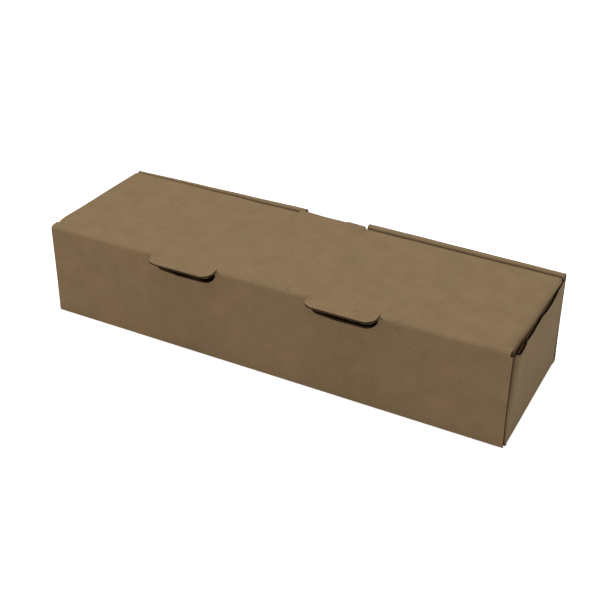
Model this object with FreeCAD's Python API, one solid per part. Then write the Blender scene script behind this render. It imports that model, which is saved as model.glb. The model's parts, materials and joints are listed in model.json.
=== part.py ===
"""A one-piece die-cut sandwich box in kraft corrugated board, folded shut.

The blank folds along this chain: rolled-over rear wall, base, front wall, lid, tuck flap.
The lid is hinged on the top fold of the front wall, where two D-shaped tabs are cut out of
the wall and stay in the plane of the lid. Each side wall stands on the base and carries
two ears: the front one lies behind the front wall, and the rear one is held inside the
rolled-over rear wall. The box is folded by hand, so its walls spring a little outwards,
the rear wall bends at its thumb notch, and the lid stands a little high on the left.
Two nodes: the tray, and the lid that swings on the fold.

Frame: millimetres, +X along the box, +Y from the hinged front to the rear, +Z up, with
the origin in the middle of the underside of the base.
"""
import FreeCAD, Part
import math
import os

# Outside of the folded box, and its board
LENGTH = 252.0
WIDTH = 81.0
LID_TOP = 51.3
BOARD = 1.6
FOLD_INSIDE = 0.4

# How far the walls spring outwards at their top edges
LEFT_LEAN_FRONT = 1.0
LEFT_LEAN_REAR = 0.3
RIGHT_LEAN_FRONT = 2.2
RIGHT_LEAN_REAR = 0.4
REAR_LEAN_ENDS = -0.4
REAR_LEAN_MIDDLE = 2.6

# How far the rear edge of the lid stands above the height of its hinge fold
LID_RISE_LEFT = 2.2
LID_RISE_MIDDLE = 0.7
LID_RISE_RIGHT = 0.5

# How far behind its hinge axis the lid stays level before it rises
LID_LAND = 1.6

# Clearances: between plies of the tray, and between the tray and the moving lid
PLY_GAP = 0.25
RUNNING_GAP = 0.3

# Rolled-over rear wall
ROLL_RISE = 0.3
NOTCH_WIDTH = 37.0
NOTCH_DEPTH = 14.0
NOTCH_RADIUS = 8.0
LOCK_WIDTH = 24.0
LOCK_SPACING = 120.0
LOCK_LIFT = 0.4

# Side walls and their ears
FOLD_LAND = 0.8
EAR_LENGTH = 46.0
EAR_STEP = 1.2
EAR_RADIUS = 8.0

# D tabs at the hinge fold
TAB_WIDTH = 36.2
TAB_REACH = 8.1
TAB_RADIUS = 5.5
TAB_SPACING = 87.1

# Flaps of the lid
TUCK_DEPTH = 24.0
TUCK_LEAN = 10.0
TUCK_INSET = 5.0
TUCK_RADIUS = 9.0
DUST_DEPTH = 21.0
DUST_LEAN = 4.0
DUST_FRONT_GAP = 0.8
DUST_REAR_SLOPE = 14.0

# A bend of fewer degrees than this is a kink in the board, with no radius
KINK = 15.0

# How far a cutting block runs past what it cuts
CUT_PAST = 1.0

# Worked out from the values above
HALF = BOARD / 2
FOLD_OUTSIDE = FOLD_INSIDE + BOARD
FOLD_MIDDLE = FOLD_INSIDE + HALF
JOIN_Z = FOLD_OUTSIDE + FOLD_LAND
END_X = LENGTH / 2
FRONT_Y = -WIDTH / 2
REAR_Y = WIDTH / 2
AXIS_Y = FRONT_Y + HALF
AXIS_Z = LID_TOP - HALF
WALL_TOP = LID_TOP - BOARD - RUNNING_GAP
ROLL_TOP = LID_TOP + ROLL_RISE
PLY_STEP = BOARD + PLY_GAP
FRONT_EAR_Y = AXIS_Y + PLY_STEP
REAR_EAR_Y = REAR_Y - HALF - PLY_STEP
INNER_PLY_Y = REAR_EAR_Y - PLY_STEP
PANEL_END_X = END_X - FOLD_OUTSIDE - BOARD
LID_END_X = END_X - BOARD + min(LEFT_LEAN_REAR, RIGHT_LEAN_REAR) - RUNNING_GAP
LID_PANEL_X = LID_END_X - FOLD_OUTSIDE - BOARD
LAND_Y = AXIS_Y + LID_LAND
LEANS = {-1: (LEFT_LEAN_FRONT, LEFT_LEAN_REAR), 1: (RIGHT_LEAN_FRONT, RIGHT_LEAN_REAR)}
LID_RISES = {-1: LID_RISE_LEFT, 1: LID_RISE_RIGHT}


def across(x):
    """Places points of a front-to-rear section at a distance along the box."""
    return lambda a, b: FreeCAD.Vector(x, a, b)


def lengthways(y):
    """Places points of a section along the box at a distance from front to rear."""
    return lambda a, b: FreeCAD.Vector(a, y, b)


def level(z):
    """Places points of a plan at a height."""
    return lambda a, b: FreeCAD.Vector(a, b, z)


def unit(start, end):
    length = math.hypot(end[0] - start[0], end[1] - start[1])
    return ((end[0] - start[0]) / length, (end[1] - start[1]) / length)


def along(point, direction, distance):
    return (point[0] + direction[0] * distance, point[1] + direction[1] * distance)


def left_of(direction):
    return (-direction[1], direction[0])


def turn_between(before, after):
    cross = before[0] * after[1] - before[1] * after[0]
    return math.atan2(cross, before[0] * after[0] + before[1] * after[1])


def bent_wire(points, place, half=HALF):
    """Outline of board that follows a centre line through the points, with round folds."""
    directions = [unit(a, b) for a, b in zip(points, points[1:])]
    outline = []
    for side in (1, -1):
        here = along(points[0], left_of(directions[0]), side * half)
        edges = []
        for corner, before, after in zip(points[1:], directions, directions[1:]):
            turn = turn_between(before, after)
            bisector = unit((0, 0), (before[0] + after[0], before[1] + after[1]))
            if abs(turn) < math.radians(KINK):
                miter = along(corner, left_of(bisector), side * half / math.cos(turn / 2))
                edges.append(Part.makeLine(place(*here), place(*miter)))
                here = miter
                continue
            inwards = 1 if turn > 0 else -1
            tangent = FOLD_MIDDLE * math.tan(abs(turn) / 2)
            entry = along(corner, before, -tangent)
            centre = along(entry, left_of(before), inwards * FOLD_MIDDLE)
            start = along(entry, left_of(before), side * half)
            middle = along(centre, unit(centre, corner), FOLD_MIDDLE - side * inwards * half)
            end = along(along(corner, after, tangent), left_of(after), side * half)
            edges.append(Part.makeLine(place(*here), place(*start)))
            edges.append(Part.Arc(place(*start), place(*middle), place(*end)).toShape())
            here = end
        last = along(points[-1], left_of(directions[-1]), side * half)
        edges.append(Part.makeLine(place(*here), place(*last)))
        outline.append(edges)
    first, second = outline
    caps = [Part.makeLine(first[-1].Vertexes[1].Point, second[-1].Vertexes[1].Point),
            Part.makeLine(second[0].Vertexes[0].Point, first[0].Vertexes[0].Point)]
    return Part.Wire(first + caps[:1] + second[::-1] + caps[1:])


def ruled(wires):
    """Solid with straight lines from each outline to the next."""
    return Part.makeLoft(wires, True, True)


def box(x0, x1, y0, y1, z0, z1):
    return Part.makeBox(x1 - x0, y1 - y0, z1 - z0, FreeCAD.Vector(x0, y0, z0))


def block(width, depth, height, x, y, z):
    """Upright block over the point x, y, with its underside at z."""
    return box(x - width / 2, x + width / 2, y - depth / 2, y + depth / 2, z, z + height)


def pair(spacing):
    """Places of two like features, spaced evenly about the middle."""
    return (-spacing / 2, spacing / 2)


def tongue(width, reach, radius, grow=0.0):
    """Flat tongue from its root on the X axis out to reach along +Y, its far corners round."""
    half = width / 2 + grow
    far = reach + grow
    bend = radius + grow
    slant = bend * (1 - math.sqrt(0.5))
    root = [FreeCAD.Vector(half, 0, 0), FreeCAD.Vector(-half, 0, 0)]
    left = [FreeCAD.Vector(-half, far - bend, 0),
            FreeCAD.Vector(-half + slant, far - slant, 0),
            FreeCAD.Vector(-half + bend, far, 0)]
    right = [FreeCAD.Vector(half - bend, far, 0),
             FreeCAD.Vector(half - slant, far - slant, 0),
             FreeCAD.Vector(half, far - bend, 0)]
    return Part.Face(Part.Wire([Part.makeLine(root[0], root[1]),
                                Part.makeLine(root[1], left[0]),
                                Part.Arc(*left).toShape(),
                                Part.makeLine(left[2], right[0]),
                                Part.Arc(*right).toShape(),
                                Part.makeLine(right[2], root[0])]))


def hanging(face, x, top_z, y0, y1):
    """A flat tongue stood upright, pointing down from top_z, as a block from y0 to y1."""
    face.rotate(FreeCAD.Vector(0, 0, 0), FreeCAD.Vector(1, 0, 0), -90)
    face.translate(FreeCAD.Vector(x, y0, top_z))
    return face.extrude(FreeCAD.Vector(0, y1 - y0, 0))


def rear_shift(x, z):
    """How far the rear wall stands out at a place along it and at a height."""
    at_top = REAR_LEAN_MIDDLE + (REAR_LEAN_ENDS - REAR_LEAN_MIDDLE) * abs(x) / END_X
    return at_top * (z - JOIN_Z) / (ROLL_TOP - HALF - JOIN_Z)


def lower_chain():
    """Front wall and base with the fold between them, and the foot of the rear wall."""
    points = [(REAR_Y - HALF, JOIN_Z), (REAR_Y - HALF, HALF), (AXIS_Y, HALF),
              (AXIS_Y, WALL_TOP)]
    sheet = Part.Face(bent_wire(points, across(-END_X)))
    sheet = sheet.extrude(FreeCAD.Vector(LENGTH, 0, 0))
    strip = box(PANEL_END_X, END_X + CUT_PAST, FRONT_Y + FOLD_OUTSIDE, REAR_Y - FOLD_OUTSIDE,
                -CUT_PAST, JOIN_Z)
    return sheet.cut([strip, mirrored(strip)])


def mirrored(shape):
    return shape.mirror(FreeCAD.Vector(0, 0, 0), FreeCAD.Vector(1, 0, 0))


def rear_section(x):
    """Section of the rear wall: inner ply, rolled top and outer ply."""
    top_z = ROLL_TOP - HALF
    shift = rear_shift(x, top_z)
    points = [(INNER_PLY_Y, BOARD + PLY_GAP),
              (INNER_PLY_Y, JOIN_Z),
              (INNER_PLY_Y + shift, top_z),
              (REAR_Y - HALF + shift, top_z),
              (REAR_Y - HALF, JOIN_Z + FOLD_LAND),
              (REAR_Y - HALF, JOIN_Z)]
    return bent_wire(points, across(x))


def rear_wall():
    """Rolled-over wall, with its inner ply cut short to fit between the side walls."""
    wall = ruled([rear_section(x) for x in (-END_X, 0, END_X)])
    strip = box(END_X - PLY_STEP, END_X + CUT_PAST, 0, INNER_PLY_Y + HALF + PLY_GAP / 2,
                0, WALL_TOP - FOLD_OUTSIDE)
    notch = hanging(tongue(NOTCH_WIDTH, NOTCH_DEPTH, NOTCH_RADIUS), 0, ROLL_TOP,
                    0, WIDTH)
    return wall.cut([strip, mirrored(strip), notch])


def side_fold(side):
    """Round fold from the base up into a side wall, between the wall's two ears."""
    points = [(side * PANEL_END_X, HALF), (side * (END_X - HALF), HALF),
              (side * (END_X - HALF), JOIN_Z)]
    front = FRONT_EAR_Y + FOLD_MIDDLE
    rear = REAR_EAR_Y - FOLD_MIDDLE
    face = Part.Face(bent_wire(points, lengthways(front)))
    return face.extrude(FreeCAD.Vector(0, rear - front, 0))


def side_plan(side, z):
    """Plan of a side wall with its two ears at a height, where it leans out."""
    rise = (z - JOIN_Z) / (WALL_TOP - JOIN_Z)
    front_lean, rear_lean = LEANS[side]
    ear_end = side * (END_X - EAR_LENGTH)
    front_x = side * (END_X - HALF + front_lean * rise)
    rear_x = side * (END_X - HALF + rear_lean * rise)
    points = [(ear_end, FRONT_EAR_Y),
              (front_x, FRONT_EAR_Y),
              (rear_x, REAR_EAR_Y + rear_shift(END_X, z)),
              (ear_end, REAR_EAR_Y + rear_shift(ear_end, z))]
    return bent_wire(points, level(z))


def ear_trim(side, y0, y1):
    """What is cut from a full-height ear to leave its low and rounded free end."""
    low = JOIN_Z + EAR_STEP
    high = WALL_TOP - EAR_STEP
    ear_end = side * (END_X - EAR_LENGTH - BOARD)
    keep = tongue(high - low, EAR_LENGTH, EAR_RADIUS)
    keep.rotate(FreeCAD.Vector(0, 0, 0), FreeCAD.Vector(0, 0, 1), side * 90)
    keep.rotate(FreeCAD.Vector(0, 0, 0), FreeCAD.Vector(1, 0, 0), 90)
    keep.translate(FreeCAD.Vector(side * END_X, y0, (low + high) / 2))
    ends = sorted((ear_end, side * PANEL_END_X))
    band = box(ends[0], ends[1], y0, y1, 0, LID_TOP)
    return band.cut(keep.extrude(FreeCAD.Vector(0, y1 - y0, 0)))


def side_wall(side):
    """Side wall with its ears, from the fold at the base to its raw top edge."""
    wall = ruled([side_plan(side, z) for z in (JOIN_Z, WALL_TOP)])
    margin = BOARD + REAR_LEAN_MIDDLE
    trims = [ear_trim(side, y - margin, y + margin) for y in (FRONT_EAR_Y, REAR_EAR_Y)]
    return wall.cut(trims)


def lock_slot(x):
    """Slot through the base for one lock tab of the inner ply."""
    return block(LOCK_WIDTH + 2 * PLY_GAP, BOARD + 2 * PLY_GAP, BOARD, x, INNER_PLY_Y, 0)


def lock_tab(x):
    """Tongue under the inner ply, which stands in its slot just clear of the table."""
    return block(LOCK_WIDTH, BOARD, JOIN_Z - LOCK_LIFT, x, INNER_PLY_Y, LOCK_LIFT)


def hinge_slot(x):
    """D-shaped hole that a tab leaves in the front wall."""
    face = tongue(TAB_WIDTH, TAB_REACH, TAB_RADIUS, RUNNING_GAP)
    return hanging(face, x, AXIS_Z, FRONT_Y - BOARD, FRONT_Y + BOARD + PLY_GAP / 2)


def tray():
    body = lower_chain().cut([lock_slot(x) for x in pair(LOCK_SPACING)]
                             + [hinge_slot(x) for x in pair(TAB_SPACING)])
    sides = [part(side) for side in (-1, 1) for part in (side_fold, side_wall)]
    body = body.fuse([rear_wall()] + sides + [lock_tab(x) for x in pair(LOCK_SPACING)])
    return body.removeSplitter()


def lid_rear_y(x):
    """Where the rear fold of the lid stands, a running gap inside the rear wall."""
    return INNER_PLY_Y - HALF + rear_shift(x, ROLL_TOP - HALF) - RUNNING_GAP


def lid_points(x, rise):
    """Centre line of the lid across the box: hinge, level land, rear fold, tuck flap."""
    lean = math.radians(TUCK_LEAN)
    corner = (lid_rear_y(x) - HALF, AXIS_Z + rise)
    end = (corner[0] - TUCK_DEPTH * math.sin(lean), corner[1] - TUCK_DEPTH * math.cos(lean))
    return [(AXIS_Y, AXIS_Z), (LAND_Y, AXIS_Z), corner, end]


def lid_slope(side):
    """Slope of the lid panel behind its land, at one end."""
    return LID_RISES[side] / (lid_rear_y(LID_END_X) - HALF - LAND_Y)


def lid_panel():
    """Top panel, rear fold and tuck flap; level along the box where the dust flaps join."""
    left = lid_points(-LID_END_X, LID_RISE_LEFT)
    right = lid_points(LID_END_X, LID_RISE_RIGHT)
    middle = lid_points(0, LID_RISE_MIDDLE)
    sections = ((-LID_END_X, left), (-LID_PANEL_X, left), (0, middle),
                (LID_PANEL_X, right), (LID_END_X, right))
    return ruled([bent_wire(points, across(x)) for x, points in sections])


def tuck_end(side):
    """What is cut from a full-length tuck flap at one end: its inset and round corner."""
    half_width = LID_END_X - FOLD_OUTSIDE - TUCK_INSET
    edge = AXIS_Z + LID_RISES[side]
    high = edge + HALF - FOLD_OUTSIDE
    low = edge - TUCK_DEPTH * math.cos(math.radians(TUCK_LEAN)) - HALF
    front = INNER_PLY_Y - TUCK_DEPTH
    rear = REAR_Y + REAR_LEAN_MIDDLE
    keep = hanging(tongue(2 * half_width, high - low, TUCK_RADIUS), 0, high, front, rear)
    ends = sorted((side * (half_width - TUCK_RADIUS), side * END_X))
    return box(ends[0], ends[1], front, rear, low, high).cut(keep)


def dust_flap(side):
    """Side flap of the lid, bent down inside the side wall, with a slanted rear end."""
    lean = math.radians(DUST_LEAN)
    slope = lid_slope(side)
    half = HALF * math.hypot(1, slope)
    front = FRONT_EAR_Y + HALF + DUST_FRONT_GAP
    rear = lid_rear_y(LID_END_X) - FOLD_OUTSIDE
    wires = []
    for y in (front, rear):
        z = AXIS_Z + slope * (y - LAND_Y)
        corner = (side * (LID_END_X - half), z)
        end = (corner[0] - side * DUST_DEPTH * math.sin(lean), z - DUST_DEPTH * math.cos(lean))
        wires.append(bent_wire([(side * LID_PANEL_X, z), corner, end], lengthways(y), half))
    flap = ruled(wires)
    top = AXIS_Z + LID_RISES[side] - FOLD_OUTSIDE
    fall = DUST_DEPTH + BOARD
    run = fall * math.tan(math.radians(DUST_REAR_SLOPE))
    ends = [FreeCAD.Vector(0, rear + BOARD, top), FreeCAD.Vector(0, rear, top),
            FreeCAD.Vector(0, rear - run, top - fall),
            FreeCAD.Vector(0, rear + BOARD, top - fall)]
    wedge = Part.Face(Part.makePolygon(ends + ends[:1]))
    return flap.cut(wedge.extrude(FreeCAD.Vector(side * END_X, 0, 0)))


def hinge_tab(x):
    """D tab that reaches forward from the hinge axis, level with the hinge fold."""
    tab = tongue(TAB_WIDTH, TAB_REACH, TAB_RADIUS)
    tab.rotate(FreeCAD.Vector(0, 0, 0), FreeCAD.Vector(1, 0, 0), 180)
    tab.translate(FreeCAD.Vector(x, AXIS_Y, LID_TOP - BOARD))
    return tab.extrude(FreeCAD.Vector(0, 0, BOARD))


def lid():
    flaps = [dust_flap(side) for side in (-1, 1)]
    room = flaps[0].BoundBox
    strip = box(LID_PANEL_X, END_X, room.YMin, room.YMax, 0, LID_TOP + LID_RISE_LEFT + BOARD)
    nose = Part.makeCylinder(HALF, 2 * LID_END_X, FreeCAD.Vector(-LID_END_X, AXIS_Y, AXIS_Z),
                             FreeCAD.Vector(1, 0, 0))
    body = lid_panel().cut([strip, mirrored(strip), tuck_end(-1), tuck_end(1)])
    body = body.fuse([nose] + flaps + [hinge_tab(x) for x in pair(TAB_SPACING)])
    return body.removeSplitter()


def main():
    os.makedirs("parts", exist_ok=True)
    for name, shape in (("tray", tray()), ("lid", lid())):
        shape.exportStep("parts/" + name + ".step")
        print(name, "solids", len(shape.Solids), "valid", shape.isValid(),
              "volume", round(shape.Volume, 1), "faces", len(shape.Faces))


main()
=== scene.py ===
"""The look of a one-piece sandwich box in kraft corrugated board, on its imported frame.

The box is built as the die-cut blank that it is. Each sheet has a flat outline with its
holes, in the blank's own coordinates: u along the flutes, which run along the box, and t
across them, down the chain of panels. A sheet is meshed flat, folded into place along
its creases, and then sprung, bowed and dented as a box folded by hand is. Its raw edges
show both liners and the wavy medium between them. Lengths are millimetres in the
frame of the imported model, turned into metres when a mesh is made.
"""
import json
import math

import bmesh
import bpy
import numpy as np
from mathutils import Matrix, Vector
from mathutils.geometry import delaunay_2d_cdt

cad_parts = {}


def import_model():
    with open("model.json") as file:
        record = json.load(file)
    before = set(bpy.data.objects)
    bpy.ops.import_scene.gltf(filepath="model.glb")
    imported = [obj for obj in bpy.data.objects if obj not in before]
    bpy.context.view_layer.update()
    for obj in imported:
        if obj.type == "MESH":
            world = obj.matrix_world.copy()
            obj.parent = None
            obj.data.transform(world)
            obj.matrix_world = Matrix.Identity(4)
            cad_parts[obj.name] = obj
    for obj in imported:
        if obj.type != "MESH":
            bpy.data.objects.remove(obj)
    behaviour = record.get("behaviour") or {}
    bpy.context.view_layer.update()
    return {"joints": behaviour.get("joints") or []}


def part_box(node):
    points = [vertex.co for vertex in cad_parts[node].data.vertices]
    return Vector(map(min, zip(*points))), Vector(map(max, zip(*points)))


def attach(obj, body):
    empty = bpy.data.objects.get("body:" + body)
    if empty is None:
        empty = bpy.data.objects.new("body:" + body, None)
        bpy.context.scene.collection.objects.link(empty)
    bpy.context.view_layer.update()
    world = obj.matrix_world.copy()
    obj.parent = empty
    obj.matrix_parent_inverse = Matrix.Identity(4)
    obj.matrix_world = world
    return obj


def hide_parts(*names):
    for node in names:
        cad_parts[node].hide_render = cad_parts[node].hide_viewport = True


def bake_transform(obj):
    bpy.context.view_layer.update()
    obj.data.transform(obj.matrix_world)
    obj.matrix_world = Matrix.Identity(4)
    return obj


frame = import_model()

MM = 0.001
# Slack for places that should be equal, and the distance within which vertices are joined
TINY, WELD = 1e-6, 0.002

# Taken from the frame
TRAY_LOW, TRAY_HIGH = [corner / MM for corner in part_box("tray")]
HINGE = Vector(frame["joints"][0]["pos_m"]) / MM
AXIS_Y, AXIS_Z = HINGE.y, HINGE.z
FRONT_Y = TRAY_LOW.y
LID_END_X = (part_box("lid")[1] / MM).x
ROLL_TOP = TRAY_HIGH.z

# The board and its folds
HALF = AXIS_Y - FRONT_Y
BOARD = 2 * HALF
LINER = 0.17
MEDIUM = 0.16
FLUTE_PITCH = 3.3
FLUTE_SWING = HALF - LINER - MEDIUM / 2
FOLD_MIDDLE = 1.2
FOLD_OUTSIDE = FOLD_MIDDLE + HALF
SHARP_FOLD = 0.35
LEAST_RADIUS = 0.05
# The fold at the lid's right end is soft, and grows so over a length from the rear fold on.
# It turns a little more than a right angle, and so takes this many radii of the panel.
END_FOLD, END_FOLD_BLEND, END_FOLD_SHARE = 3.1, 24.0, 1.1
PLY_GAP = 0.25
PLY_STEP = BOARD + PLY_GAP
RUNNING_GAP = 0.3

# The folded box: its walls, where they join the base, and its ears
END_X = 126.0
REAR_Y = 40.5
WALL_TOP = AXIS_Z - HALF - RUNNING_GAP
JOIN_Z = FOLD_OUTSIDE + 0.8
CORNER_LOW = 0.15
FRONT_EAR_PLAY = 0.6
FRONT_EAR_Y = AXIS_Y + PLY_STEP + FRONT_EAR_PLAY
REAR_EAR_Y = REAR_Y - HALF - PLY_STEP
INNER_PLY_Y = REAR_EAR_Y - PLY_STEP
PANEL_END_X = END_X - FOLD_OUTSIDE - BOARD
LID_REAR_Y = INNER_PLY_Y - HALF - RUNNING_GAP
# Where the lid's flat panel ends: beside a sharp fold, and on each side
LID_SHARP_X = LID_END_X - HALF - SHARP_FOLD - 0.05
LID_PANEL_X = {-1: LID_SHARP_X, 1: LID_END_X - HALF - END_FOLD * END_FOLD_SHARE}
# Right ends of the front wall, of the hinge and of the lid's front corner
FRONT_END_X = END_X - 0.55
HINGE_END_X = END_X - 1.9
LID_CORNER_X = LID_END_X - 1.0

# Cut-outs, tabs and flaps
NOTCH_LEFT, NOTCH_RIGHT, NOTCH_DEPTH, NOTCH_RADIUS = -17.4, 17.9, 14.0, 8.0
NOTCH_SKEW = 3.0
# The inner ply is narrower than the rolled edge from this far down
INNER_PLY_STEP = 1.0
LOCK_WIDTH, LOCK_SPACING, LOCK_LIFT = 24.0, 120.0, 0.4
TAB_WIDTH, TAB_REACH, TAB_RADIUS, TAB_SPACING = 36.2, 8.1, 5.5, 87.1
# The share of the board that the die presses thin at a tab's edge, and how far in
TAB_CRUSH, TAB_CRUSH_WIDTH = 0.4, 2.0
# How far the edge of the left and of the right tab droops
TAB_DROOP = (0.55, 0.2)
# The cut under a tab is shallower than the tab by a lift, more so at its ends
CUT_LIFT, CUT_RISE, CUT_RISE_LENGTH, CUT_END_LIFT = 0.4, 1.25, 14.0, 0.4
CUT_RADII = (6.0, 8.0)
EAR_LENGTH, EAR_STEP, EAR_RADIUS = 46.0, 1.2, 8.0
TUCK_DEPTH, TUCK_LEAN, TUCK_INSET, TUCK_RADIUS = 24.0, 10.0, 5.0, 9.0
DUST_DEPTH, DUST_LEAN, DUST_GAP, DUST_SLOPE, DUST_RADIUS = 21.0, 4.0, 0.8, 14.0, 2.0
# The frayed nick in the right wall's top edge: its y, and its points along and up the wall
NICK_Y = -25.5
NICK = ((-2.2, 0.0), (-1.2, -1.3), (-0.5, -0.5), (0.4, 1.0), (1.3, -0.3), (2.6, 0.0))

# How a box folded by hand springs: (place along the edge, shift) at its top edges
REAR_BOW = ((-126.0, -0.75), (-85.0, 0.25), (-53.0, 1.0), (-20.0, 1.9), (0.0, 2.25),
            (20.0, 2.17), (43.0, 1.9), (70.0, 1.2), (97.0, 0.58), (126.0, -0.1))
ROLL_PRESS = ((-126.0, 0.53), (-96.0, 0.5), (-66.0, 0.58), (-36.0, 0.73), (0.0, 0.83),
              (34.0, 0.85), (74.0, 0.8), (114.0, 0.75), (126.0, 0.74))
LID_RISE = ((-126.0, 1.5), (-96.0, 1.05), (-66.0, 0.6), (-36.0, 0.42), (34.0, 0.2),
            (74.0, 0.28), (114.0, 0.4), (126.0, 0.5))
# A swelling near the front of the lid's left end: height, start and length along x
LEFT_LIFT, LEFT_LIFT_X, LEFT_LIFT_RUN = 1.0, 90.0, 35.0
LID_SAG = 0.3
# The swelling grows to its full height over the lid's first eighth, and the bulge by the
# thumb notch takes its last sixth
LIFT_PARTS, BULGE_PARTS = 8, 6
NOTCH_BULGE = ((-19.8, 0.0), (-18.0, 1.5), (-14.0, 1.75), (-2.0, 1.3), (9.0, 1.3),
               (9.8, 1.8), (19.4, 1.6), (20.6, 0.0))
RIGHT_LEAN = ((-40.5, 2.15), (-32.0, 1.85), (-28.0, 1.6), (-25.5, 1.15), (-23.0, 1.2),
              (-18.0, 1.3), (-9.0, 1.0), (-2.0, 0.8), (4.0, 1.3), (12.0, 1.3),
              (18.0, 1.0), (26.0, 0.45), (33.0, 0.1), (40.0, -0.1))
LEFT_LEAN = ((-40.5, 0.95), (15.0, 0.95), (40.0, 0.4))
RIGHT_FLARE = ((-40.0, 0.3), (-30.0, -0.1), (-20.0, 0.45), (-8.0, 0.95), (10.0, 1.0),
               (36.0, 1.2))
LEFT_FLARE = ((-40.0, 1.6), (-15.0, 0.85), (15.0, 0.7), (35.0, 0.25))
# The lid's ends flare from this x on, over this run
FLARE_X, FLARE_RUN = 100.0, 20.0
# How far the lid's rear edge stays clear of the rear wall that it follows
LID_PLAY = 2.0
# Unevenness of the front wall: its bow, dents to the left of each tab and dents under it.
# A dent has a depth, distances from the tab's left end, the wall's top or the tab's edge,
# and radii, of which a low dent's other one is half the tab.
FRONT_BOW = 0.25
END_DENT, END_DENT_X, END_DENT_Z, END_DENT_RADII = 0.5, 4.0, 2.0, (6.0, 5.0)
LOW_DENT, LOW_DENT_Z, LOW_DENT_RADIUS = 0.35, 3.0, 4.0
# The side walls' bow, and how their lean grows with the height
SIDE_BOW, SIDE_BOW_LENGTH, LEAN_GROWTH = 0.3, 90.0, 1.3
# Length of wall by a rear ear that goes along with the rear wall
REAR_HELD = 12.0
# How far the foot of the front and right walls stands out, and how high that reaches
FRONT_FOOT = ((-126.0, 0.35), (0.0, 0.5), (126.0, 0.75))
RIGHT_FOOT = ((-40.0, 0.75), (36.0, 0.3))
FOOT_HEIGHT, FOOT_REACH = 30.0, 20.0
# Up to this height the round folds of the ears grow square towards the base
SQUARE_HEIGHT = 12.0
# How far the ends of the rolled edge are pulled in
ROLL_ENDS = ((-126.0, 0.6), (-106.0, 0.0), (106.0, 0.0), (126.0, -0.4))

# Mesh: spacing on panels and along an open-flute edge, and steps round a fold, round the
# hinge and, at least, round a corner of an outline
PANEL_STEP = 3.0
FLUTE_STEP = FLUTE_PITCH / 10
FOLD_STEPS, HINGE_STEPS, CORNER_STEPS = 12, 32, 3
# Spacing of the finer columns on the lid, and how far they go to each side of the notch
FINE_STEP, FINE_HALF = 0.8, 24.5
# An edge with less slope than this runs along the flutes, and shows none
FLUTE_SLOPE = 0.05
# Share of a grid cell that the inner points keep from the outlines, and the mesher's slack
GRID_CLEAR, GRID_SLACK = 0.3, 1e-5
# How far the open flutes go in, and the angle from which an edge is sharp
RECESS = 1.4
SHARP_ANGLE = math.radians(35)

# The floor: half its side in metres, its colour, its glow in the background, and how far
# it stands under the base, so that their faces don't coincide
FLOOR_SIZE, FLOOR_COLOUR, FLOOR_GLOW, FLOOR_DROP = 3.0, (0.86, 0.82, 0.81), 0.72, 0.05
WHITE = (1.0, 1.0, 1.0)


def smooth_between(pairs, x):
    """Value at x of a smooth curve through (place, value) pairs."""
    if x <= pairs[0][0]:
        return pairs[0][1]
    for (x0, y0), (x1, y1) in zip(pairs, pairs[1:]):
        if x <= x1:
            share = (x - x0) / (x1 - x0)
            return y0 + (y1 - y0) * share * share * (3 - 2 * share)
    return pairs[-1][1]


def straight_between(pairs, x):
    return float(np.interp(x, [p[0] for p in pairs], [p[1] for p in pairs]))


def dent(x, y, centre_x, centre_y, radius_x, radius_y):
    """Height between 0 and 1 of a soft round dent."""
    far = ((x - centre_x) / radius_x) ** 2 + ((y - centre_y) / radius_y) ** 2
    return math.exp(-2 * far)


def clamp(value, low=0.0, high=1.0):
    return max(low, min(high, value))


def pair(spacing):
    return (-spacing / 2, spacing / 2)


class Chain:
    """A section of folded board: straight panels joined by round folds."""

    def __init__(self, points, radii=()):
        self.legs = []
        self.marks = [0.0]
        here = Vector(points[0])
        radii = list(radii) or [FOLD_MIDDLE] * (len(points) - 2)
        for corner, beyond, radius in zip(points[1:], points[2:] + [None], radii + [0.0]):
            corner = Vector(corner)
            way = (corner - here).normalized()
            if beyond is None:
                self.add_straight(here, way, (corner - here).length)
                break
            after = (Vector(beyond) - corner).normalized()
            turn = math.atan2(way.x * after.y - way.y * after.x, way.dot(after))
            reach = radius * math.tan(abs(turn) / 2)
            self.add_straight(here, way, (corner - here).length - reach)
            self.legs.append(("fold", corner - way * reach, way, turn, radius))
            self.marks.append(self.marks[-1] + radius * abs(turn))
            here = corner + after * reach

    def add_straight(self, start, way, length):
        self.legs.append(("straight", start, way, 0.0, 0.0))
        self.marks.append(self.marks[-1] + length)

    def at(self, t, w):
        """Point at distance t along the chain and w to the left of it."""
        index = 0
        while index < len(self.legs) - 1 and t > self.marks[index + 1]:
            index += 1
        kind, start, way, turn, radius = self.legs[index]
        run = t - self.marks[index]
        left = Vector((-way.y, way.x))
        if kind == "straight":
            return start + way * run + left * w
        inwards = 1 if turn > 0 else -1
        angle = run / radius
        reach = max(radius - inwards * w, LEAST_RADIUS)
        return (start + left * inwards * radius
                + way * reach * math.sin(angle) - left * inwards * reach * math.cos(angle))

    def rows(self):
        """Stations for the mesh: evenly spaced on panels, close together round folds."""
        rows = [0.0]
        for leg, start, end in zip(self.legs, self.marks, self.marks[1:]):
            if leg[0] == "fold":
                count = FOLD_STEPS
            else:
                count = max(1, round((end - start) / PANEL_STEP))
            rows += [start + (end - start) * (i + 1) / count for i in range(count)]
        return rows


def even_rows(start, end, step=PANEL_STEP):
    count = max(1, round((end - start) / step))
    return [start + (end - start) * i / count for i in range(count + 1)]


# Outlines are lists of corners (u, t, radius, kind of the edge that leaves the corner).
# A deep or raw edge shows the cut board, darkened by painted shade for its open flutes as far
# as its number, a deep edge darkest; a joined one meets a sheet.
DEEP, RAW, JOINED = 1.0, 0.65, 0.0


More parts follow.
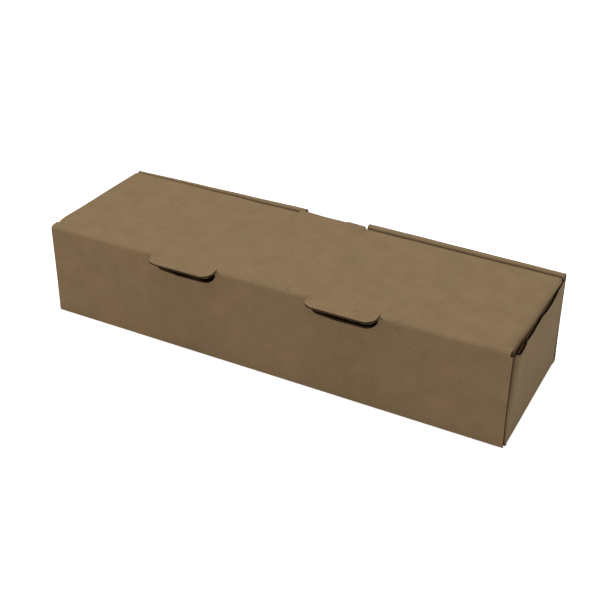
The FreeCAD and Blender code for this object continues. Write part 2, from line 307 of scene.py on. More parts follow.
def traced(corners):
    """Closed outline through the corners, rounded and finely divided: points and kinds."""
    count = len(corners)
    points, kinds = [], []
    for i, (u, t, radius, kind) in enumerate(corners):
        corner = Vector((u, t))
        before = Vector(corners[i - 1][:2])
        after = Vector(corners[(i + 1) % count][:2])
        if radius:
            arrive = (corner - before).normalized()
            leave = (after - corner).normalized()
            turn = arrive.angle(leave)
            reach = radius * math.tan(turn / 2)
            entry = corner - arrive * reach
            side = 1 if arrive.x * leave.y - arrive.y * leave.x > 0 else -1
            centre = entry + Vector((-arrive.y, arrive.x)) * side * radius
            steps = max(CORNER_STEPS, round(radius * turn / FLUTE_STEP))
            for k in range(steps):
                spin = Matrix.Rotation(side * turn * k / steps, 2)
                points.append(centre + spin @ (entry - centre))
                kinds.append(kind)
            start = corner + leave * reach
        else:
            start = corner
        next_radius = corners[(i + 1) % count][2]
        end = after
        if next_radius:
            leave = (after - corner).normalized()
            beyond = Vector(corners[(i + 2) % count][:2])
            turn = leave.angle((beyond - after).normalized())
            end = after - leave * next_radius * math.tan(turn / 2)
        length = (end - start).length
        slope = abs(end.y - start.y) / max(length, TINY)
        step = FLUTE_STEP if kind != JOINED and slope > FLUTE_SLOPE else PANEL_STEP
        steps = max(1, math.ceil(length / step - TINY))
        for k in range(steps):
            points.append(start.lerp(end, k / steps))
            kinds.append(kind)
    return points, kinds


def area(points):
    return sum(a.x * b.y - b.x * a.y for a, b in zip(points, points[1:] + points[:1])) / 2


def is_inside(places, loops):
    """For each place, whether it lies in the board: inside an odd number of loops."""
    inside = np.zeros(len(places), bool)
    for loop in loops:
        a = np.array(loop)
        b = np.roll(a, -1, axis=0)
        for (ax, ay), (bx, by) in zip(a, b):
            if ay == by:
                continue
            spans = (ay > places[:, 1]) != (by > places[:, 1])
            cross = ax + (places[:, 1] - ay) * (bx - ax) / (by - ay)
            inside ^= spans & (places[:, 0] < cross)
    return inside


def nearest_edge(places, loops):
    """Distance from each place to the nearest edge of the loops."""
    best = np.full(len(places), np.inf)
    for loop in loops:
        a = np.array(loop)
        b = np.roll(a, -1, axis=0)
        for start, end in zip(a, b):
            run = end - start
            share = np.clip(((places - start) @ run) / max(run @ run, TINY ** 2), 0, 1)
            gap = places - start - share[:, None] * run
            best = np.minimum(best, np.hypot(gap[:, 0], gap[:, 1]))
    return best


class Sheet:
    """Vertices and faces of folded board, gathered sheet by sheet into one mesh."""

    def __init__(self, outside):
        self.outside = outside
        self.verts, self.faces, self.blank, self.raw = [], [], [], []
        self.unfold = float

    # raw is how much painted shade a point gets: above 0 on a cut edge, for the shade inside
    # its open flutes
    def vertex(self, place, u, t, w, raw):
        self.verts.append(place(u, t, w))
        self.blank.append((self.unfold(u), t, w * self.outside))
        self.raw.append(raw)
        return len(self.verts) - 1

    def add(self, outlines, columns, rows, place, unfold=float):
        """Adds board with these outlines, the outer one first, folded by place(u, t, w).

        unfold(u) is where u lies on the flat blank, for the fibres and marks.
        """
        self.unfold = unfold
        columns, rows = sorted(columns), sorted(rows)

        def flat(u, t):
            return (float(np.interp(u, columns, range(len(columns)))),
                    float(np.interp(t, rows, range(len(rows)))))

        loops, kinds = [], []
        for number, corners in enumerate(outlines):
            points, marks = traced(corners)
            if (area(points) > 0) != (number == 0):
                # The other way round, each edge leaves the point that it used to reach
                points = points[::-1]
                marks = marks[-2::-1] + marks[-1:]
            loops.append(points)
            kinds.append(marks)
        flats = [[flat(p.x, p.y) for p in loop] for loop in loops]
        grid = np.array([(i, j) for i in range(len(columns)) for j in range(len(rows))], float)
        grid = grid[is_inside(grid, flats)]
        grid = grid[nearest_edge(grid, flats) > GRID_CLEAR]
        points = [Vector(p) for loop in flats for p in loop] + [Vector(p) for p in grid]
        edges, first = [], 0
        for loop in flats:
            count = len(loop)
            edges += [(first + k, first + (k + 1) % count) for k in range(count)]
            first += count
        found, _, triangles, origins, _, _ = delaunay_2d_cdt(points, edges, [], 0, GRID_SLACK)
        centres = np.array([np.mean([found[k] for k in tri], axis=0) for tri in triangles])
        keep = is_inside(centres, flats)
        source = {index: given[0] for index, given in enumerate(origins) if given}
        places = [p for loop in loops for p in loop]
        places += [Vector((columns[round(i)], rows[round(j)])) for i, j in grid]
        skins = {w: [self.vertex(place, p.x, p.y, w, 0.0) for p in places]
                 for w in (HALF, -HALF)}
        for tri, kept in zip(triangles, keep):
            if not kept:
                continue
            a, b, c = (source[k] for k in tri)
            flip = area([places[a], places[b], places[c]]) < 0
            ring = (a, c, b) if flip else (a, b, c)
            self.faces.append([skins[HALF][k] for k in ring])
            self.faces.append([skins[-HALF][k] for k in ring[::-1]])
        first = 0
        for loop, marks in zip(loops, kinds):
            self.add_rim(loop, marks, first, skins, place)
            first += len(loop)

    def add_rim(self, loop, kinds, first, skins, place):
        """Cut edge of the board: liner edges, a recess, and the wavy medium in it."""
        count = len(loop)
        columns = {}

        def column(k):
            if k in columns:
                return columns[k]
            before, here, after = loop[k - 1], loop[k], loop[(k + 1) % count]
            way = ((here - before).normalized() + (after - here).normalized())
            way = way.normalized() if way.length > TINY else (after - here).normalized()
            inner = here + Vector((-way.y, way.x)) * RECESS
            depth = {}
            for name, p in (("edge", here), ("deep", inner)):
                wave = FLUTE_SWING * math.sin(2 * math.pi * p.y / FLUTE_PITCH)
                levels = (-HALF + LINER, wave - MEDIUM / 2, wave + MEDIUM / 2, HALF - LINER)
                # Each rim point takes the painted shade of its edge's kind
                depth[name] = [self.vertex(place, p.x, p.y, w, kinds[k] or kinds[k - 1])
                               for w in levels]
            depth["low"] = skins[-HALF][first + k]
            depth["high"] = skins[HALF][first + k]
            columns[k] = depth
            return depth

        for k, kind in enumerate(kinds):
            if kind == JOINED:
                continue
            a, b = column(k), column((k + 1) % count)
            ae, be, ad, bd = a["edge"], b["edge"], a["deep"], b["deep"]
            self.faces += [[a["low"], b["low"], be[0], ae[0]],
                           [ae[3], be[3], b["high"], a["high"]],
                           [ae[0], be[0], bd[0], ad[0]],
                           [ad[3], bd[3], be[3], ae[3]],
                           [ad[0], bd[0], bd[3], ad[3]],
                           [ae[1], be[1], be[2], ae[2]],
                           [ad[1], bd[1], be[1], ae[1]],
                           [ae[2], be[2], bd[2], ad[2]]]

    def build(self, name, material):
        mesh = bpy.data.meshes.new(name)
        mesh.from_pydata([Vector(v) * MM for v in self.verts], [], self.faces)
        blank = mesh.attributes.new("blank", "FLOAT_VECTOR", "POINT")
        blank.data.foreach_set("vector", np.array(self.blank, np.float32).ravel() * MM)
        # The raw attribute carries the painted shade of the cut edges to the material
        raw = mesh.attributes.new("raw", "FLOAT", "POINT")
        raw.data.foreach_set("value", np.array(self.raw, np.float32))
        mesh.polygons.foreach_set("use_smooth", [True] * len(mesh.polygons))
        mesh.update()
        mesh.materials.append(material)
        piece = bpy.data.objects.new(name, mesh)
        bpy.context.scene.collection.objects.link(piece)
        weld(mesh)
        mesh.set_sharp_from_angle(angle=SHARP_ANGLE)
        return piece


def weld(mesh):
    """Joins the skins of sheets that meet."""
    work = bmesh.new()
    work.from_mesh(mesh)
    bmesh.ops.remove_doubles(work, verts=work.verts, dist=WELD * MM)
    work.to_mesh(mesh)
    work.free()


# How the folded panels are sprung, bowed and dented


def sprung(x, y, z):
    """Where the rear wall's plies go at a height: pressed together, and bowed outwards."""
    height = clamp((z - JOIN_Z) / (ROLL_TOP - JOIN_Z))
    press = (REAR_Y - y) * (1 - smooth_between(ROLL_PRESS, x))
    return y + height * (press + smooth_between(REAR_BOW, x))


def panel_bow(x, z):
    """Soft unevenness of the front wall, with dents beside and under each tab."""
    along, up = math.pi * x / (2 * END_X), math.pi * clamp(z / WALL_TOP)
    bow = FRONT_BOW * math.cos(along) * math.sin(up)
    for tab in pair(TAB_SPACING):
        left_end = tab - TAB_WIDTH / 2
        bow += END_DENT * dent(x, z, left_end - END_DENT_X, WALL_TOP - END_DENT_Z,
                               *END_DENT_RADII)
        bow += LOW_DENT * dent(x, z, tab, WALL_TOP - TAB_REACH - LOW_DENT_Z,
                               TAB_WIDTH / 2, LOW_DENT_RADIUS)
    return bow


TRAY_CHAIN = Chain([(AXIS_Y, AXIS_Z - FOLD_MIDDLE), (AXIS_Y, HALF), (REAR_Y - HALF, HALF),
                    (REAR_Y - HALF, ROLL_TOP - HALF), (INNER_PLY_Y, ROLL_TOP - HALF),
                    (INNER_PLY_Y, BOARD + PLY_GAP)],
                   [SHARP_FOLD, SHARP_FOLD, FOLD_MIDDLE, SHARP_FOLD])
BASE_FRONT, BASE_REAR = TRAY_CHAIN.marks[2], TRAY_CHAIN.marks[3]
OUTER_TOP, ROLL_START, ROLL_END, INNER_TOP, INNER_END = TRAY_CHAIN.marks[5:10]


def base_t(y):
    """Distance down the tray's chain to a place on the base."""
    return BASE_FRONT + y - (AXIS_Y + SHARP_FOLD)


def footed(x, y, z):
    """Moves a point of the tray with the foot of its front and right walls."""
    low = clamp(1 - z / FOOT_HEIGHT) ** 2
    front = clamp(1 - (y - FRONT_Y) / FOOT_REACH)
    right = clamp(1 - (END_X - x) / FOOT_REACH)
    return Vector((x + smooth_between(RIGHT_FOOT, y) * right * low,
                   y - smooth_between(FRONT_FOOT, x) * front * low, z))


def tray_place(u, t, w):
    """Folds the front wall, base and rolled-over rear wall."""
    y, z = TRAY_CHAIN.at(t, w)
    x = u
    if t < BASE_FRONT:
        y += panel_bow(u, z)
    elif t > BASE_REAR:
        y = sprung(u, y, z)
        x += straight_between(ROLL_ENDS, u) * clamp(z / ROLL_TOP)
    return footed(x, y, z)


SIDE_CHAIN = Chain([(PANEL_END_X, HALF), (END_X - HALF, HALF), (END_X - HALF, WALL_TOP)],
                   [SHARP_FOLD])
SIDE_TOP = SIDE_CHAIN.marks[-1]
SIDE_JOIN = SIDE_TOP - (WALL_TOP - JOIN_Z)
EAR_END_X = END_X - EAR_LENGTH
EAR_CHAIN = Chain([(EAR_END_X, FRONT_EAR_Y), (END_X - HALF, FRONT_EAR_Y),
                   (END_X - HALF, REAR_EAR_Y), (EAR_END_X, REAR_EAR_Y)])
EAR_FRONT, WALL_FRONT, WALL_REAR, EAR_REAR, EAR_FAR = EAR_CHAIN.marks[1:6]
# The round folds of the ears: start, end, and the centre's y
EAR_FOLDS = ((EAR_FRONT, WALL_FRONT, FRONT_EAR_Y + FOLD_MIDDLE),
             (WALL_REAR, EAR_REAR, REAR_EAR_Y - FOLD_MIDDLE))


def side_t(y):
    """Distance round the ears and side wall to a place on the wall."""
    return WALL_FRONT + y - (FRONT_EAR_Y + FOLD_MIDDLE)


def squared(t, x, y, z):
    """Squares the round fold of an ear towards its foot, where the base holds it."""
    centre_x = END_X - FOLD_OUTSIDE
    for start, end, centre_y in EAR_FOLDS:
        if start < t < end:
            arm = Vector((x - centre_x, y - centre_y))
            square = arm.length / max(abs(arm.x), abs(arm.y))
            arm *= 1 + (square - 1) * clamp(1 - z / SQUARE_HEIGHT) ** 2
            return centre_x + arm.x, centre_y + arm.y
    return x, y


def side_place(side):
    """Folds a side wall up from the base, and its ears in along the front and rear."""
    lean = RIGHT_LEAN if side > 0 else LEFT_LEAN

    def place(u, t, w):
        if u < SIDE_JOIN and WALL_FRONT - TINY <= t <= WALL_REAR + TINY:
            x, z = SIDE_CHAIN.at(u, w)
            y = FRONT_EAR_Y + FOLD_MIDDLE + t - WALL_FRONT
        else:
            z = JOIN_Z + u - SIDE_JOIN
            x, y = squared(t, *EAR_CHAIN.at(t, w), z)
        rise = clamp((z - JOIN_Z) / (WALL_TOP - JOIN_Z))
        near_rear = clamp((y - REAR_EAR_Y) / REAR_HELD + 1)
        spring = smooth_between(lean, y) * rise ** LEAN_GROWTH
        along = math.pi * clamp(y / SIDE_BOW_LENGTH, -0.5, 0.5)
        bow = SIDE_BOW * math.sin(math.pi * rise) * math.cos(along)
        held = clamp((x - EAR_END_X) / EAR_LENGTH)
        x += spring + bow * held
        y += near_rear * (sprung(side * x, y, z) - y)
        return footed(side * x, y, z)

    return place


def flap_end(corner, level, depth, degrees):
    """Where a flap ends that hangs from a corner and leans back under its panel."""
    lean = math.radians(degrees)
    return (corner - depth * math.sin(lean), level - depth * math.cos(lean))


LID_CORNER_Y = LID_REAR_Y - HALF
LID_CHAIN = Chain([(AXIS_Y + FOLD_MIDDLE, AXIS_Z), (LID_CORNER_Y, AXIS_Z),
                   flap_end(LID_CORNER_Y, AXIS_Z, TUCK_DEPTH, TUCK_LEAN)], [SHARP_FOLD])
LID_FOLD, TUCK_TOP, TUCK_END = LID_CHAIN.marks[1:4]


def dust_chain(side, radius):
    """Section of the lid's end, from its panel round the end fold and down the dust flap."""
    corner = LID_END_X - HALF
    return Chain([(LID_PANEL_X[side], 0.0), (corner, 0.0),
                  flap_end(corner, 0.0, DUST_DEPTH, DUST_LEAN)], [radius])


DUST_CHAINS = {-1: dust_chain(-1, SHARP_FOLD), 1: dust_chain(1, END_FOLD)}
DUST_SHARP = {side: dust_chain(side, SHARP_FOLD) for side in (-1, 1)}
DUST_FRONT = FRONT_EAR_Y + HALF + DUST_GAP - (AXIS_Y + FOLD_MIDDLE)
DUST_REAR = LID_FOLD


def lid_spring(point, along):
    """Moves a point of the folded lid as its rear edge rises and follows the rear wall."""
    x, y, z = point
    share = clamp(along / LID_FOLD)
    near_edge = clamp(share * BULGE_PARTS - (BULGE_PARTS - 1))
    rise = smooth_between(LID_RISE, x) * share + smooth_between(NOTCH_BULGE, x) * near_edge ** 2
    at_left = clamp((-x - LEFT_LIFT_X) / LEFT_LIFT_RUN)
    rise += LEFT_LIFT * clamp(share * LIFT_PARTS) * (1 - share) * at_left ** 2
    flare = straight_between(LEFT_FLARE if x < 0 else RIGHT_FLARE, y)
    flare *= clamp((abs(x) - FLARE_X) / FLARE_RUN)
    sag = LID_SAG * math.sin(math.pi * share) * math.cos(math.pi * x / (2 * END_X))
    back = (REAR_Y - LID_REAR_Y) * (1 - smooth_between(ROLL_PRESS, x)) - LID_PLAY
    return Vector((x + math.copysign(flare, x),
                   y + (back + smooth_between(REAR_BOW, x)) * share,
                   z + rise - sag))


def crushed(u, t, w):
    """Lifts the underside of a tab near its cut edge, where the die has pressed it thin.

    Beside the tabs it also lifts the row at t = 0, along the hinge line.
    """
    if t > 0 or w > 0:
        return w
    tab = math.copysign(TAB_SPACING / 2, u)
    to_edge = min(t + TAB_REACH + FOLD_MIDDLE, TAB_WIDTH / 2 - abs(u - tab))
    return w + BOARD * TAB_CRUSH * clamp(1 - to_edge / TAB_CRUSH_WIDTH)


def lid_place(u, t, w):
    y, z = LID_CHAIN.at(t, crushed(u, t, w))
    if t < 0:
        z -= TAB_DROOP[u > 0] * (t / (TAB_REACH + FOLD_MIDDLE)) ** 2
    return lid_spring((u, y, z), t)


def dust_place(side):
    """Folds a dust flap; its fold turns sharp where it meets the lid's rear fold."""

    def place(u, t, w):
        soft = clamp((DUST_REAR - t) / END_FOLD_BLEND)
        x, z = DUST_CHAINS[side].at(u, w) * soft + DUST_SHARP[side].at(u, w) * (1 - soft)
        return lid_spring((side * x, AXIS_Y + FOLD_MIDDLE + t, AXIS_Z + z), t)

    return place


# Outlines of the sheets


def tray_outlines():
    """Outline of the front wall, base and rear wall, and their holes: notch and slots."""
    lock = LOCK_WIDTH / 2
    top = []
    for x in pair(TAB_SPACING):
        half = TAB_WIDTH / 2 + RUNNING_GAP
        reach = TAB_REACH - FOLD_MIDDLE + RUNNING_GAP - CUT_LIFT
        top += [(x - half, 0.0, 0, RAW), (x - half, reach - CUT_RISE, CUT_RADII[0], RAW),
                (x - half + CUT_RISE_LENGTH, reach, 0, RAW),
                (x + half, reach - CUT_END_LIFT, CUT_RADII[1], RAW),
                (x + half, 0.0, 0, JOINED)]
    wing = BASE_FRONT
    flank = base_t(FRONT_EAR_Y + FOLD_MIDDLE)
    flank_rear = base_t(REAR_EAR_Y - FOLD_MIDDLE)
    ply = END_X - PLY_STEP
    ply_top = INNER_TOP + INNER_PLY_STEP
    outline = [(-END_X, 0.0, 0, JOINED)] + top
    # The front wall's right end is a deep edge, which gets the darkest painted shade, for the
    # groove beside it
    outline += [(HINGE_END_X, 0.0, 0, RAW), (FRONT_END_X, 0.0, 0, DEEP),
                (FRONT_END_X, wing, 0, RAW), (PANEL_END_X, wing, 0, RAW),
                (PANEL_END_X, flank, 0, JOINED),
                (PANEL_END_X, flank_rear, 0, RAW), (PANEL_END_X, BASE_REAR, 0, RAW),
                (END_X, BASE_REAR, 0, RAW), (END_X, ply_top, 0, RAW),
                (ply, ply_top, 0, RAW), (ply, INNER_END, 0, RAW)]
    lock_end = INNER_END + BOARD + PLY_GAP - LOCK_LIFT
    for x in pair(LOCK_SPACING)[::-1]:
        outline += [(x + lock, INNER_END, 0, RAW), (x + lock, lock_end, 0, RAW),
                    (x - lock, lock_end, 0, RAW), (x - lock, INNER_END, 0, RAW)]
    outline += [(-ply, INNER_END, 0, RAW), (-ply, ply_top, 0, RAW), (-END_X, ply_top, 0, RAW),
                (-END_X, BASE_REAR, 0, RAW), (-PANEL_END_X, BASE_REAR, 0, RAW),
                (-PANEL_END_X, flank_rear, 0, JOINED), (-PANEL_END_X, flank, 0, RAW),
                (-PANEL_END_X, wing, 0, RAW), (-END_X, wing, 0, RAW)]
    outer = OUTER_TOP + FOLD_OUTSIDE - NOTCH_DEPTH
    inner = ROLL_START + ROLL_END - outer
    notch = [(NOTCH_LEFT, outer, NOTCH_RADIUS, RAW), (NOTCH_RIGHT, outer, NOTCH_RADIUS, RAW),
             (NOTCH_RIGHT + NOTCH_SKEW, inner, NOTCH_RADIUS, RAW),
             (NOTCH_LEFT, inner, NOTCH_RADIUS, RAW)]
    holes = [notch]
    for x in pair(LOCK_SPACING):
        slot, near = lock + PLY_GAP, base_t(INNER_PLY_Y - HALF - PLY_GAP)
        far = base_t(INNER_PLY_Y + HALF + PLY_GAP)
        holes.append([(x - slot, near, 0, RAW), (x + slot, near, 0, RAW),
                      (x + slot, far, 0, RAW), (x - slot, far, 0, RAW)])
    return [outline] + holes


def side_outline(frayed):
    """Side wall with its two ears; u runs up the wall and t round its ears."""
    low, high = SIDE_JOIN + EAR_STEP, SIDE_TOP - EAR_STEP
    corner = SIDE_JOIN - (JOIN_Z - CORNER_LOW)
    # The wall's top edge and its nick are deep edges, which get the darkest painted shade, for
    # the gap under the lid
    corners = [(0.0, WALL_FRONT, 0, RAW), (corner, WALL_FRONT, 0, RAW),
               (corner, EAR_FRONT, 0, RAW), (low, EAR_FRONT, 0, RAW),
               (low, 0.0, EAR_RADIUS, RAW), (high, 0.0, EAR_RADIUS, RAW),
               (high, EAR_FRONT, 0, RAW), (SIDE_TOP, EAR_FRONT, 0, DEEP)]
    if frayed:
        corners += [(SIDE_TOP + up, side_t(NICK_Y) + along, 0, DEEP) for along, up in NICK]
    corners += [(SIDE_TOP, EAR_REAR, 0, RAW), (high, EAR_REAR, 0, RAW),
                (high, EAR_FAR, EAR_RADIUS, RAW), (low, EAR_FAR, EAR_RADIUS, RAW),
                (low, EAR_REAR, 0, RAW), (corner, EAR_REAR, 0, RAW),
                (corner, WALL_REAR, 0, RAW), (0.0, WALL_REAR, 0, JOINED)]
    return corners


def lid_outline():
    """Lid panel with its tabs and tuck flap; u runs along the box and t to the rear."""
    tabs = []
    for x in pair(TAB_SPACING):
        half, reach = TAB_WIDTH / 2, TAB_REACH + FOLD_MIDDLE
        tabs += [(x - half, 0.0, 0, RAW), (x - half, -reach, TAB_RADIUS, RAW),
                 (x + half, -reach, TAB_RADIUS, RAW), (x + half, 0.0, 0, JOINED)]
    inset = LID_END_X - FOLD_OUTSIDE - TUCK_INSET
    right = [(HINGE_END_X, 0.0, 0, RAW), (LID_CORNER_X, DUST_FRONT, 0, RAW),
             (LID_PANEL_X[1], DUST_FRONT, 0, JOINED), (LID_PANEL_X[1], DUST_REAR, 0, JOINED),
             (LID_SHARP_X, DUST_REAR, 0, RAW), (LID_SHARP_X, TUCK_TOP, 0, RAW),
             (inset, TUCK_TOP, 0, RAW), (inset, TUCK_END, TUCK_RADIUS, RAW)]
    left = [(-inset, TUCK_END, TUCK_RADIUS, RAW), (-inset, TUCK_TOP, 0, RAW),
            (-LID_SHARP_X, TUCK_TOP, 0, RAW), (-LID_SHARP_X, DUST_REAR, 0, JOINED),
            (-LID_SHARP_X, DUST_FRONT, 0, RAW), (-LID_END_X, DUST_FRONT, 0, RAW)]
    return [(-LID_END_X, 0.0, 0, JOINED)] + tabs + right + left


def dust_outline(side):
    """Dust flap; u runs round its fold and down, and t along the lid's end to the rear."""
    run = DUST_DEPTH * math.tan(math.radians(DUST_SLOPE))
    end = DUST_CHAINS[side].marks[-1]
    corners = [(0.0, DUST_FRONT, 0, RAW), (end, DUST_FRONT, DUST_RADIUS, RAW),
               (end, DUST_REAR - run, DUST_RADIUS, RAW)]
    if side > 0:
        corners.append((LID_SHARP_X - LID_PANEL_X[side], DUST_REAR, 0, JOINED))
    return corners + [(0.0, DUST_REAR, 0, JOINED)]


# Materials

KRAFT = (0.26, 0.176, 0.096)
# Shades that multiply the board's colour: clouds, warmth, fibres and specks. Each is noise,
# with its scale, detail, roughness and stretch, between two stops of place and tint.
SHADES = (
    (90, 3, 0.6, (1, 1, 1), (0.25, (0.93, 0.93, 0.93)), (0.75, (1.07, 1.07, 1.07))),
    (35, 2, 0.5, (1, 1, 1), (0.35, (0.98, 1.0, 1.0)), (0.65, (1.02, 1.0, 0.97))),
    (1500, 4, 0.7, (0.55, 1, 1), (0.3, (0.91, 0.91, 0.91)), (0.7, (1.09, 1.09, 1.09))),
    (650, 2, 0.5, (0.5, 1, 1), (0.24, (0.8, 0.77, 0.72)), (0.29, WHITE)))
# Painted shade for the inside of a cut edge, for the shade in its open flutes: how dark it gets
# against the board's face
PAINTED_EDGE_SHADE = 0.12
ROUGHNESS, GLOSS = 0.82, 0.04
# The fine bumps of the paper: noise as above, strength, and height in metres
BUMPS, BUMP_STRENGTH, BUMP_HEIGHT = (1800, 4, 0.65, (0.4, 1, 1)), 0.35, 0.00012
# Small rubbed spots: (u, t, half-width along u, half-width along t)
SPOT_STOPS = ((0.3, (0.72, 0.7, 0.68)), (1.0, WHITE))
TRAY_MARKS = ((70.8, 1.4, 1.0, 0.7),)
LID_MARKS = ((91.2, 34.7, 0.8, 0.6), (50.9, -2.4, 0.8, 0.8), (-78.2, 51.3, 2.2, 0.5))


def kraft(name, marks=()):
    """Unbleached kraft board: fibres, cloudy tone, specks, marks, and painted shade on raw
    edges.
    """
    material = bpy.data.materials.new(name)
    material.use_nodes = True
    nodes, links = material.node_tree.nodes, material.node_tree.links
    shader = nodes["Principled BSDF"]

    def add(kind, **values):
        node = nodes.new(kind)
        for key, value in values.items():
            setattr(node, key, value)
        return node

    def noise(scale, detail, roughness, stretch):
        mapping = add("ShaderNodeMapping")
        mapping.inputs["Scale"].default_value = stretch
        links.new(blank.outputs["Vector"], mapping.inputs["Vector"])
        texture = add("ShaderNodeTexNoise")
        texture.inputs["Scale"].default_value = scale
        texture.inputs["Detail"].default_value = detail
        texture.inputs["Roughness"].default_value = roughness
        links.new(mapping.outputs["Vector"], texture.inputs["Vector"])
        return texture.outputs["Fac"]

    def ramp(value, *stops):
        node = add("ShaderNodeValToRGB")
        for element, (place, colour) in zip(node.color_ramp.elements, stops):
            element.position = place
            element.color = (*colour, 1.0)
        links.new(value, node.inputs["Fac"])
        return node.outputs["Color"]

    def mix(kind, a, b, factor=1.0):
        node = add("ShaderNodeMix", data_type="RGBA", blend_type=kind)
        for value, socket in ((a, node.inputs["A"]), (b, node.inputs["B"])):
            if isinstance(value, tuple):
                socket.default_value = (*value, 1.0)
            else:
                links.new(value, socket)
        if isinstance(factor, float):
            node.inputs["Factor"].default_value = factor
        else:
            links.new(factor, node.inputs["Factor"])
        return node.outputs["Result"]

    blank = add("ShaderNodeAttribute", attribute_name="blank")
    raw = add("ShaderNodeAttribute", attribute_name="raw")
    colour = KRAFT
    for *texture, low, high in SHADES:
        colour = mix("MULTIPLY", colour, ramp(noise(*texture), low, high))
    for u, t, wide, high in marks:
        place = add("ShaderNodeMapping", vector_type="TEXTURE")
        place.inputs["Location"].default_value = (u * MM, t * MM, 0)
        place.inputs["Scale"].default_value = (wide * MM, high * MM, 1)
        links.new(blank.outputs["Vector"], place.inputs["Vector"])
        away = add("ShaderNodeVectorMath", operation="LENGTH")
        links.new(place.outputs["Vector"], away.inputs[0])
        spot = ramp(away.outputs["Value"], *SPOT_STOPS)
        colour = mix("MULTIPLY", colour, spot)
    # Painted shade: cut edges darken towards this colour as far as their raw value, for the
    # shade in their open flutes and gaps
    edge = tuple(PAINTED_EDGE_SHADE * part for part in KRAFT)
    colour = mix("MIX", colour, edge, raw.outputs["Fac"])
    links.new(colour, shader.inputs["Base Color"])
    shader.inputs["Roughness"].default_value = ROUGHNESS
    shader.inputs["Specular IOR Level"].default_value = GLOSS
    bump = add("ShaderNodeBump")
    bump.inputs["Strength"].default_value = BUMP_STRENGTH
    bump.inputs["Distance"].default_value = BUMP_HEIGHT
    links.new(noise(*BUMPS), bump.inputs["Height"])
    links.new(bump.outputs["Normal"], shader.inputs["Normal"])
    return material


# The pieces


def tray_piece():
    """Front wall, base and rear wall in one sheet, and each side wall with its ears."""
    sheet = Sheet(outside=-1)
    columns = even_rows(-END_X, END_X)
    sheet.add(tray_outlines(), columns, TRAY_CHAIN.rows(), tray_place)
    for side in (-1, 1):
        sheet.add([side_outline(side > 0)], SIDE_CHAIN.rows(), EAR_CHAIN.rows(),
                  side_place(side))
    return sheet.build("tray_sheet", kraft("kraft_tray", TRAY_MARKS))


def dust_unfold(side):
    """Where a place on a dust flap lies along the lid's blank."""
    return lambda u: side * (LID_PANEL_X[side] + u)


def lid_piece():
    """Lid panel with its tabs and tuck flap in one sheet, and a dust flap at each end."""
    sheet = Sheet(outside=1)
    reach = TAB_REACH + FOLD_MIDDLE
    rows = [-reach, -reach * 2 / 3, -reach / 3] + LID_CHAIN.rows()
    columns = (even_rows(-LID_END_X, -FINE_HALF)
               + even_rows(-FINE_HALF, FINE_HALF, FINE_STEP)[1:]
               + even_rows(FINE_HALF, LID_END_X)[1:])
    sheet.add([lid_outline()], columns, rows, lid_place)
    for side in (-1, 1):
        sheet.add([dust_outline(side)], DUST_CHAINS[side].rows(),
                  even_rows(DUST_FRONT, DUST_REAR), dust_place(side), dust_unfold(side))
    return sheet.build("lid_sheet", kraft("kraft_lid", LID_MARKS))


def hinge_strips():
    """The crease between the front wall and the lid, in lengths between the tabs."""
    # The chain's short panels only lead into the fold, which is all that is meshed
    leg = FOLD_MIDDLE + 0.5
    chain = Chain([(AXIS_Y, AXIS_Z - leg), (AXIS_Y, AXIS_Z), (AXIS_Y + leg, AXIS_Z)])
    start, end = chain.marks[1], chain.marks[2]
    rows = [start + (end - start) * i / HINGE_STEPS for i in range(HINGE_STEPS + 1)]
    cuts = [-END_X]
    for tab in pair(TAB_SPACING):
        cuts += [tab - TAB_WIDTH / 2 - RUNNING_GAP, tab + TAB_WIDTH / 2 + RUNNING_GAP]
    cuts.append(HINGE_END_X)

    def place(u, t, w):
        y, z = chain.at(t, w)
        share = (t - start) / (end - start)
        return Vector((u, y + panel_bow(u, z) * (1 - share), z))

    sheet = Sheet(outside=1)
    for left, right in zip(cuts[::2], cuts[1::2]):
        outline = [(left, start, 0, JOINED), (right, start, 0, RAW),
                   (right, end, 0, JOINED), (left, end, 0, RAW)]
        sheet.add([outline], even_rows(left, right), rows, place)
    return sheet.build("hinge_fold", kraft("kraft_fold"))


# The set


def shows_background(nodes, links):
    """1 for rays to the camera, and in gloss and glass; 0 for those that light things."""
    path = nodes.new("ShaderNodeLightPath")
    share = path.outputs["Is Camera Ray"]
    for ray in ("Is Glossy Ray", "Is Transmission Ray"):
        larger = nodes.new("ShaderNodeMath")
        larger.operation = "MAXIMUM"
        links.new(share, larger.inputs[0])
        links.new(path.outputs[ray], larger.inputs[1])
        share = larger.outputs[0]
    return share


def stage_floor():
    """Pale floor that keeps the object's shadow and glows only as a background."""
    mesh = bpy.data.meshes.new("floor")
    size, height = FLOOR_SIZE, -FLOOR_DROP * MM
    mesh.from_pydata([(-size, -size, height), (size, -size, height), (size, size, height),
                      (-size, size, height)], [], [(0, 1, 2, 3)])
    floor = bpy.data.objects.new("floor", mesh)
    bpy.context.scene.collection.objects.link(floor)
    material = bpy.data.materials.new("floor")
    material.use_nodes = True
    nodes, links = material.node_tree.nodes, material.node_tree.links
    nodes.clear()
    output = nodes.new("ShaderNodeOutputMaterial")
    diffuse = nodes.new("ShaderNodeBsdfDiffuse")
    diffuse.inputs["Color"].default_value = (*FLOOR_COLOUR, 1)
    glow = nodes.new("ShaderNodeEmission")
    glow.inputs["Color"].default_value = (*WHITE, 1)
    glow.inputs["Strength"].default_value = FLOOR_GLOW
    add = nodes.new("ShaderNodeAddShader")
    pick = nodes.new("ShaderNodeMixShader")
    links.new(diffuse.outputs[0], add.inputs[0])
    links.new(glow.outputs[0], add.inputs[1])
    links.new(shows_background(nodes, links), pick.inputs["Fac"])
    links.new(diffuse.outputs[0], pick.inputs[1])
    links.new(add.outputs[0], pick.inputs[2])
    links.new(pick.outputs[0], output.inputs["Surface"])
    mesh.materials.append(material)


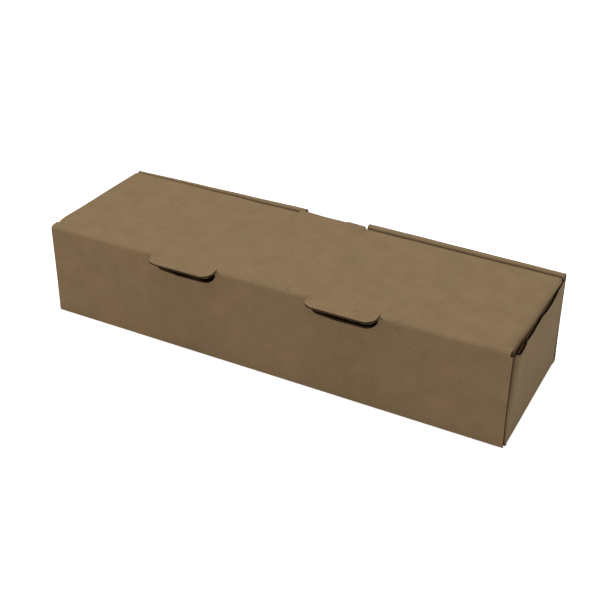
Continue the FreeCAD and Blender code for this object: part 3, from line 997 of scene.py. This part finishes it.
def world(strength):
    """Even ambient light, and white where the background shows."""
    scene_world = bpy.data.worlds.new("studio")
    bpy.context.scene.world = scene_world
    scene_world.use_nodes = True
    nodes, links = scene_world.node_tree.nodes, scene_world.node_tree.links
    nodes.clear()
    output = nodes.new("ShaderNodeOutputWorld")
    light = nodes.new("ShaderNodeBackground")
    light.inputs["Color"].default_value = (*WHITE, 1)
    light.inputs["Strength"].default_value = strength
    white = nodes.new("ShaderNodeBackground")
    white.inputs["Color"].default_value = (*WHITE, 1)
    pick = nodes.new("ShaderNodeMixShader")
    links.new(shows_background(nodes, links), pick.inputs["Fac"])
    links.new(light.outputs[0], pick.inputs[1])
    links.new(white.outputs[0], pick.inputs[2])
    links.new(pick.outputs[0], output.inputs["Surface"])


def lamp(name, place, aim, size, power, colour=WHITE):
    """Round soft lamp: place, aim and size in metres, power in watts."""
    data = bpy.data.lights.new(name, "AREA")
    data.color = colour
    data.shape = "DISK"
    data.size = size
    data.energy = power
    holder = bpy.data.objects.new(name, data)
    holder.location = place
    holder.rotation_euler = (Vector(aim) - Vector(place)).to_track_quat("-Z", "Y").to_euler()
    bpy.context.scene.collection.objects.link(holder)


def camera():
    """The camera, from its own axes in the frame, its lens and its place in millimetres."""
    right = Vector((0.8837703, 0.4678420, 0.0085970))
    down = Vector((0.2469110, -0.4506597, -0.8578699))
    ahead = Vector((-0.3974732, 0.7602827, -0.5137950))
    place = Vector((225.72, -431.56, 312.73))
    data = bpy.data.cameras.new("camera")
    data.lens = 65.62
    data.sensor_width = 36.0
    holder = bpy.data.objects.new("camera", data)
    turn = Matrix((right, -down, -ahead)).transposed()
    holder.matrix_world = Matrix.Translation(place * MM) @ turn.to_4x4()
    bpy.context.scene.collection.objects.link(holder)
    bpy.context.scene.camera = holder


tray = tray_piece()
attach(tray, "tray")
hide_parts("tray")

lid = lid_piece()
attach(lid, "lid")
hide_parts("lid")

fold = hinge_strips()
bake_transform(fold)

stage_floor()
world(strength=0.5)
lamp("key", place=(-0.05, -0.04, 0.9), aim=(0, 0, 0.03), size=0.5, power=3.15)
lamp("front", place=(-0.45, -0.36, 0.3), aim=(-0.04, -0.04, 0.03), size=0.3, power=0.36)
lamp("fill", place=(0.78, 0.28, 0.17), aim=(0, 0, 0.03), size=0.5, power=0.55,
     colour=(0.45, 0.76, 1.0))
camera()
bpy.context.scene.view_settings.view_transform = "Standard"
